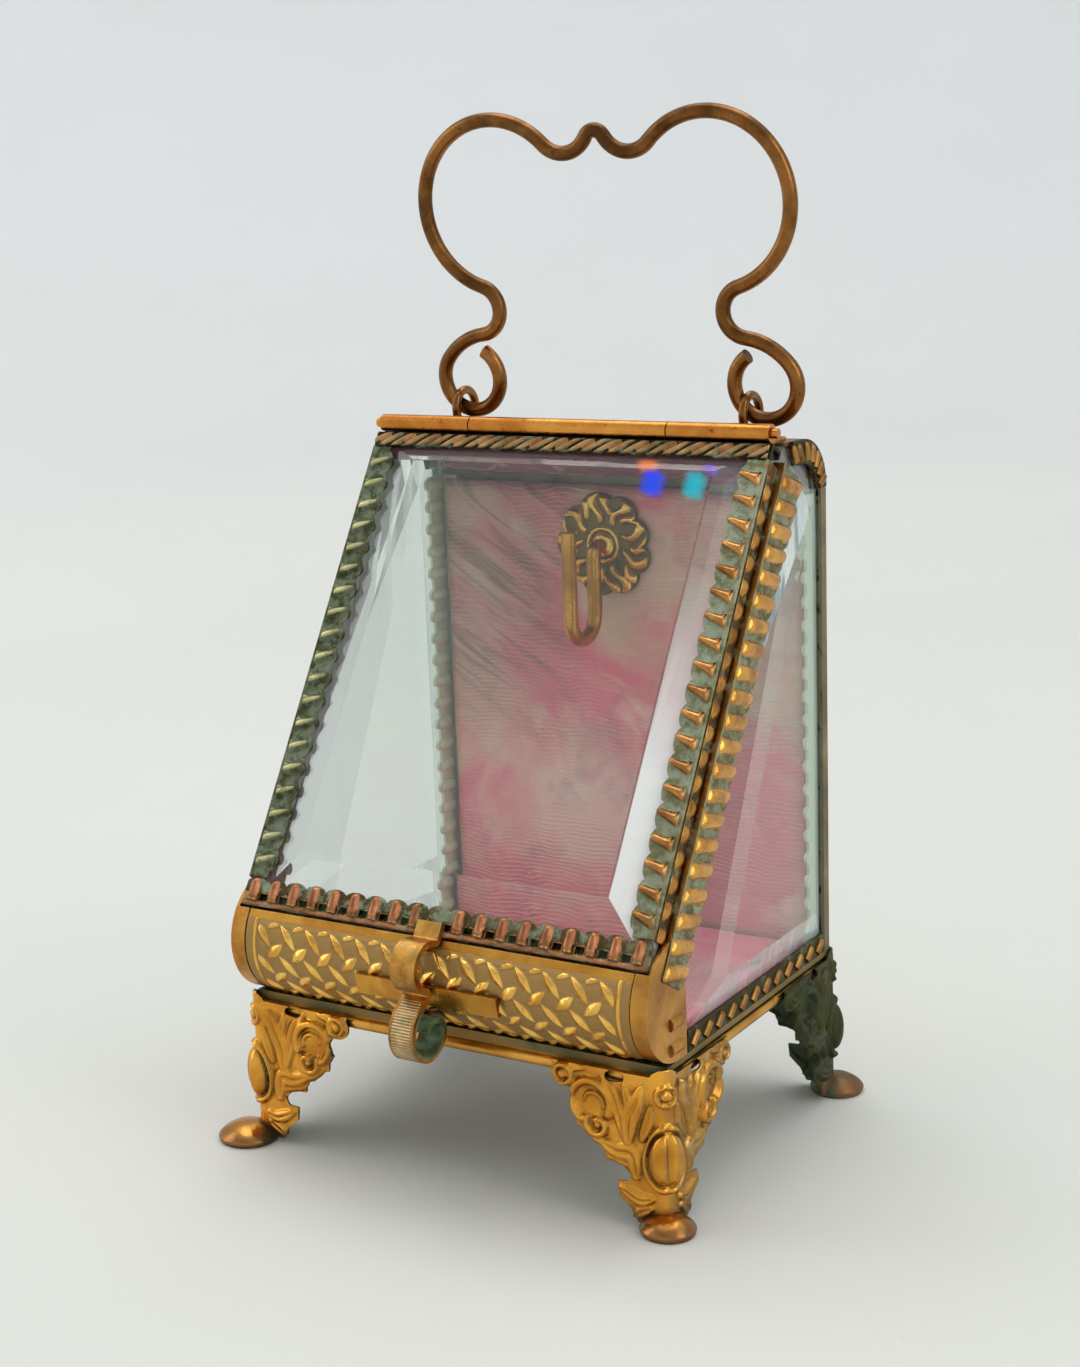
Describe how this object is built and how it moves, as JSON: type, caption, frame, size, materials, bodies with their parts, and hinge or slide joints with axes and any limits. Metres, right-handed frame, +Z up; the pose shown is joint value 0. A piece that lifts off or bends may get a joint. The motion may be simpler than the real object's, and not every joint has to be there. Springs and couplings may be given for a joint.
{
  "type": "glass watch casket",
  "caption": "Small gilt-brass casket with bevelled glass sides, a sloping hinged glass door, a wire bow handle and an inner hook for one pocket watch.",
  "frame": {"origin": "on the floor under the middle of the whole part's width and depth, 3 mm in front of the middle of the case", "axes": "+X to the right seen from the front, +Y to the back, +Z up"},
  "size_m": [0.0792, 0.0685, 0.1474],
  "materials": {
    "gilt": "stamped and gilded, rubbed bright on the ridges",
    "dark_gilt": "gilding worn, green verdigris in the hollows",
    "copper_brass": "smooth drawn wire, brown patina",
    "bevelled_glass": "polished plate glass with ground and polished bevels",
    "silk": "faded dusty-rose watered silk over padding"
  },
  "bodies": {
    "case": {"base_tray": "dark_gilt", "front_panel": "gilt", "catch_bar": "gilt", "side_strip_right": "gilt", "side_strip_left": "gilt", "side_bottom_strip_right": "dark_gilt", "side_bottom_strip_left": "dark_gilt", "roof_strip_right": "dark_gilt", "roof_strip_left": "dark_gilt", "rear_post_right": "dark_gilt", "rear_post_left": "dark_gilt", "roof_panel": "gilt", "back_panel": "gilt", "side_glass_right": "bevelled_glass", "side_glass_left": "bevelled_glass", "back_pad": "silk", "floor_pad": "silk", "roof_lining": "silk", "rosette": "gilt", "watch_hook": "gilt", "hinge_frame_knuckles": "copper_brass", "hinge_pin": "copper_brass", "handle_eye_right": "copper_brass", "handle_eye_left": "copper_brass", "foot_front_right": "gilt", "foot_front_left": "gilt", "foot_rear_right": "gilt", "foot_rear_left": "gilt"},
    "door": {"door_glass": "bevelled_glass", "door_top_rail": "dark_gilt", "door_bottom_rail": "dark_gilt", "door_stile_right": "dark_gilt", "door_stile_left": "dark_gilt", "hinge_door_knuckle": "copper_brass"},
    "latch": {"latch_clip": "gilt"},
    "handle": {"handle": "copper_brass"}
  },
  "joints": [
    {"name": "door_hinge", "type": "hinge", "parent": "case", "child": "door", "pos_m": [0, 0.0145, 0.1022], "axis": [-1, 0, 0], "range_deg": [0, 110]},
    {"name": "latch_spring", "type": "hinge", "parent": "door", "child": "latch", "pos_m": [-0.0005, -0.02494, 0.03912], "axis": [-1, 0, 0], "range_deg": [0, 8], "stiffness_Nm_per_rad": 0.02},
    {"name": "bow_hinge", "type": "hinge", "parent": "case", "child": "handle", "pos_m": [0, 0.0249, 0.10364], "axis": [1, 0, 0], "range_deg": [-136, 36]}
  ]
}
